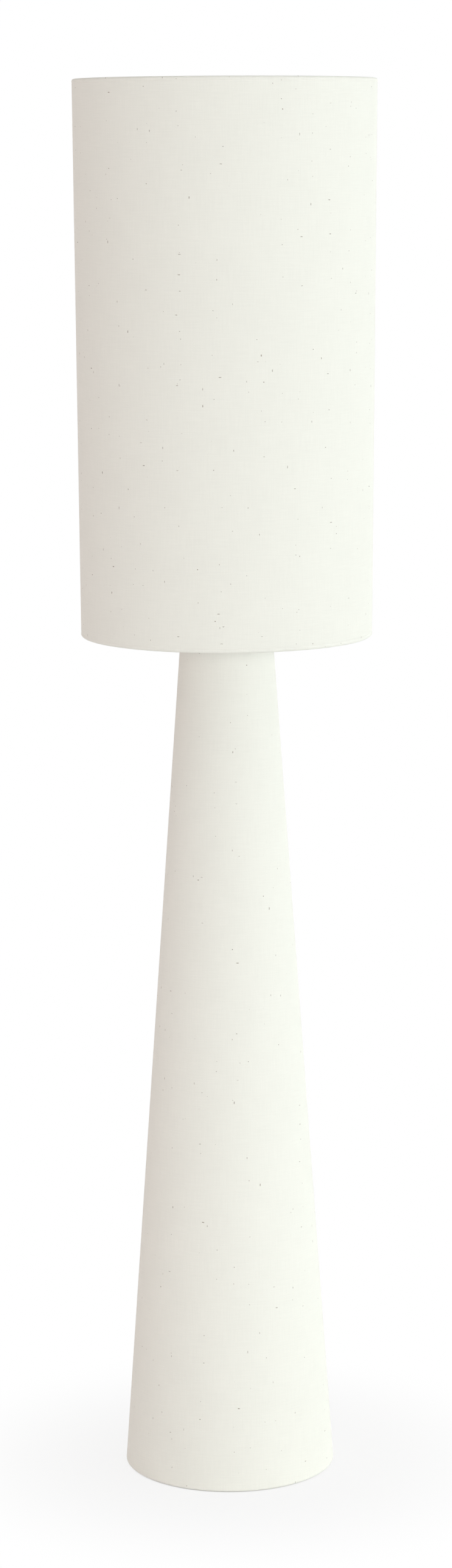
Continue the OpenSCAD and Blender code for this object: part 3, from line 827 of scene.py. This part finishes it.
# ---------------------------------------------------------------- shade cloth
# The same cotton, bonded to the shade's stiff sheet. Both edges are rolled over
# a wire and glued down inside; the cloth is slit where an arm meets the wire.
shade_top = 1600.0
shade_bottom = 978.0
shade_foot_r = 165.5
shade_taper = 4.5 / 622.0
arm_turns = (60, -60)
slit_w = 8.0
slit_low = 2.0
slit_high = 9.5
shade_flecks = 0.21
roll = [
    (5.9, 9.0), (5.9, 6.0), (5.9, 3.0), (5.7, 1.7), (5.2, 0.75), (4.4, 0.2), (3.4, 0.0), (2.4, 0.0),
    (1.5, 0.15), (0.75, 0.6), (0.2, 1.35), (-0.12, 2.2), (-0.14, 3.0), (0.02, 3.7), (0.26, 4.2),
    (0.3, 4.6), (0.1, 5.1), (0.0, 6.0),
]


def shade_r(z):
    return shade_foot_r + shade_taper * (z - shade_bottom)


outline = [(shade_r(shade_top) - inset, shade_top - drop) for inset, drop in roll]
outline += [(shade_r(z), z) for z in [shade_top - 20 - 29 * i for i in range(21)]]
outline += [(shade_r(shade_bottom) - inset, shade_bottom + rise) for inset, rise in reversed(roll)]
flap_r = shade_foot_r - roll[0][0]
flap_edge = math.pi - (lap / 2 + lap_run) / flap_r
slit_marks = [
    (math.radians(turn) + side * slit_w / 2 / flap_r) / flap_edge for turn in arm_turns for side in (-1, 1)
]
shade_cloth, shade_cut = rolled_sheet(
    "shade_cloth", outline, -math.atan(shade_taper), cloth_t + 0.05, 240, slit_marks
)


def in_slit(c):
    """Whether a point is on the inner flap, where one of the arms comes in."""
    if c.z > shade_bottom + slit_high or c.z < shade_bottom + slit_low:
        return False
    if math.hypot(c.x, c.y) > flap_r + 0.6:
        return False
    for turn in (*arm_turns, 180):
        a = math.radians(turn)
        beside = c.x * math.cos(a) + c.y * math.sin(a)
        outward = c.x * math.sin(a) - c.y * math.cos(a)
        if abs(beside) < slit_w / 2 and outward > 0:
            return True
    return False


cut_out(shade_cloth, in_slit)
apply_modifier(shade_cloth, "SOLIDIFY", thickness=cloth_t / 1000, offset=-1)
smooth(shade_cloth, 40)
coat(shade_cloth, woven_cotton("woven_cotton_shade", *shade_cut, shade_top, shade_flecks))
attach(shade_cloth, "shade")
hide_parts("shade_cover")

# ---------------------------------------------------------------- shade liner
# A stiff white plastic sheet, rolled to a drum and glued along a lap at the back.
# It carries the cloth and gives the shade its shape.
liner_inset = 0.9
liner_t = 1.0
liner_white = (0.85, 0.845, 0.825)

liner_rows = 24
liner_h = shade_top - shade_bottom - 2 * liner_inset
liner_levels = [shade_top - liner_inset - i * liner_h / liner_rows for i in range(liner_rows + 1)]
liner_outline = [(shade_r(z) - liner_inset, z) for z in liner_levels]
liner, _ = rolled_sheet("shade_liner_sheet", liner_outline, -math.atan(shade_taper), -liner_t - 0.05, 180)
apply_modifier(liner, "SOLIDIFY", thickness=liner_t / 1000, offset=-1)
smooth(liner, 40)
plastic = finish("white_lining_sheet", Specular_IOR_Level=0.45)
spot = on_object(plastic)
haze = grain(plastic, spot, (28, 28, 60), 3)
ripple = grain(plastic, spot, 2.2, 2)
lay(plastic, plastic.tint(0.5 + 1.2 * haze, darker(liner_white, 0.965), liner_white),
    0.5 + 0.15 * haze, ripple, 0.04)
coat(liner, plastic.material)
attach(liner, "shade")
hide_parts("shade_liner")

# ---------------------------------------------------------------- bulb
# A standard LED globe bulb, switched off: a rolled nickel screw cap over a black
# insulator, a white flared housing with its circuit board, and an opal globe.
bulb_foot = 1097.78
bulb_cap_r = 13.2
cap_wall = 0.45
cap_step = 0.45
cap_low = 7.3
cap_high = 21.0
nickel_colour = (0.7, 0.68, 0.64)
housing_white = (0.84, 0.84, 0.83)
opal_white = (0.88, 0.88, 0.86)
globe_d = 60.0
globe_t = 1.2
globe_z = 76.0
globe_rise = 32.0
housing_foot = 27
housing_foot_r = 14.2
housing_top = 62.0
solder_grey = (0.58, 0.58, 0.57)
glass_black = (0.012, 0.01, 0.016)
glass_sheen = (0.035, 0.03, 0.045)
board_green = (0.015, 0.1, 0.035)
track_green = (0.03, 0.16, 0.06)
plate_white = (0.8, 0.8, 0.78)
phosphor_dark = (0.72, 0.58, 0.12)
phosphor_light = (0.85, 0.72, 0.25)

cap_heights = [7.6 + cap_step * i for i in range(30)] + [21.2]
bulb_cap = turned("bulb_cap_thread", lifted(
    [(11.3, 6), (11.6, 6), (12, 6.4), (12.05, 7.1)] + [(bulb_cap_r, z) for z in cap_heights]
    + [(bulb_cap_r, 26.8), (bulb_cap_r - 0.2, 27), (bulb_cap_r - cap_wall, 27)]
    + [(bulb_cap_r - cap_wall, z) for z in reversed(cap_heights)] + [(11.6, 7.1), (11.3, 6.6), (11.3, 6)],
    bulb_foot), 120)
cut_thread(bulb_cap, bulb_foot + cap_low, bulb_foot + cap_high, lamp_pitch, lamp_depth, 12.5, (1, 0))
smooth(bulb_cap, 50)
coat(bulb_cap, plated("nickel_plate", nickel_colour))
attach(bulb_cap, "bulb")
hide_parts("bulb_cap")

foot_a = -math.asin((globe_z - housing_top) / globe_rise)
flare_run = globe_d / 2 * math.cos(foot_a) - housing_foot_r
flare = [(housing_foot_r + flare_run * (1 - math.cos(math.pi / 2 * i / 20)) ** 0.8,
          housing_foot + (housing_top - housing_foot) * i / 20) for i in range(21)]
inside = [(r - 1.5, min(z, 58.4)) for r, z in flare[-3:1:-1]]
housing = turned("bulb_housing_moulding", lifted(
    [(11.15, 21), (12.65, 21), (12.65, housing_foot), (13.6, housing_foot), (14.0, 27.15)] + flare
    + [(25.45, housing_top), (25.45, 60.4), (22.4, 60.4), (22.4, 58.4)] + inside
    + [(11.15, 21)], bulb_foot), 128)
rounded(housing, 0.2)
coat(housing, moulded("white_bulb_housing", housing_white, 0.36))
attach(housing, "bulb")
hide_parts("bulb_housing")

dome = [(globe_d / 2 * math.cos(a), globe_z + globe_rise * math.sin(a))
        for a in [foot_a + (math.pi / 2 - foot_a) * i / 40 for i in range(41)]]
dome[-1] = (0.0, globe_z + globe_rise)
globe = turned("bulb_globe_glass", lifted(dome, bulb_foot), 128)
apply_modifier(globe, "SOLIDIFY", thickness=globe_t / 1000, offset=-1)
smooth(globe, 50)
opal = finish("opal_glass", Specular_IOR_Level=0.5, Coat_Weight=0.35, Coat_Roughness=0.15,
              Subsurface_Weight=0.25, Subsurface_Radius=(0.004, 0.004, 0.004), Subsurface_Scale=1.0)
spot = on_object(opal)
frost = grain(opal, spot, 16, 2)
_, _, height = opal.parts(spot)
# Painted shade: the globe is darker under its equator, near the housing, and fades to white above.
painted_shade_fade = opal.ease(height, bulb_foot + 58, bulb_foot + 74)
lay(opal, opal.tint(painted_shade_fade + 0.3 * frost, darker(opal_white, 0.9), opal_white), 0.35 + 0.1 * frost)
coat(globe, opal.material)
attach(globe, "bulb")
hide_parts("bulb_globe")

coat(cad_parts["bulb_tip"], plated("solder", solder_grey))
insulator = turned("bulb_insulator_glass", lifted([
    (3, 2), (5.5, 2), (5.9, 2.3), (7.6, 3.5), (8, 4.1), (10.4, 5.4), (10.9, 5.9), (11.1, 6.4), (11.1, 8),
    (3, 8), (3, 2)], bulb_foot), 96)
rounded(insulator, 0.15)
glass = finish("black_insulator_glass", Specular_IOR_Level=0.6)
swirl = grain(glass, on_object(glass), 2.5, 4)
lay(glass, glass.tint(0.5 + swirl, glass_black, glass_sheen), 0.15 + 0.2 * swirl, swirl, 0.02)
coat(insulator, glass.material)
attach(insulator, "bulb")
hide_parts("bulb_insulator")
mask = finish("green_solder_mask", Specular_IOR_Level=0.5)
tracks = on_object(mask)
copper = mask.ease(abs(grain(mask, tracks, (2.2, 2.2, 3.5), 0)), 0.02, 0.05)
lay(mask, mask.tint(copper, track_green, board_green), 0.35 + 0.15 * copper, copper, 0.03)
coat(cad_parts["driver_board"], mask.material)
coat(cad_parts["led_plate"], moulded("white_solder_mask", plate_white, 0.4))
phosphor = finish("yellow_phosphor", Specular_IOR_Level=0.4)
grit = grain(phosphor, on_object(phosphor), 0.2, 3)
lay(phosphor, phosphor.tint(0.5 + grit, phosphor_dark, phosphor_light), 0.45 + 0.2 * grit, grit, 0.02)
coat(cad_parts["led_chips"], phosphor.material)
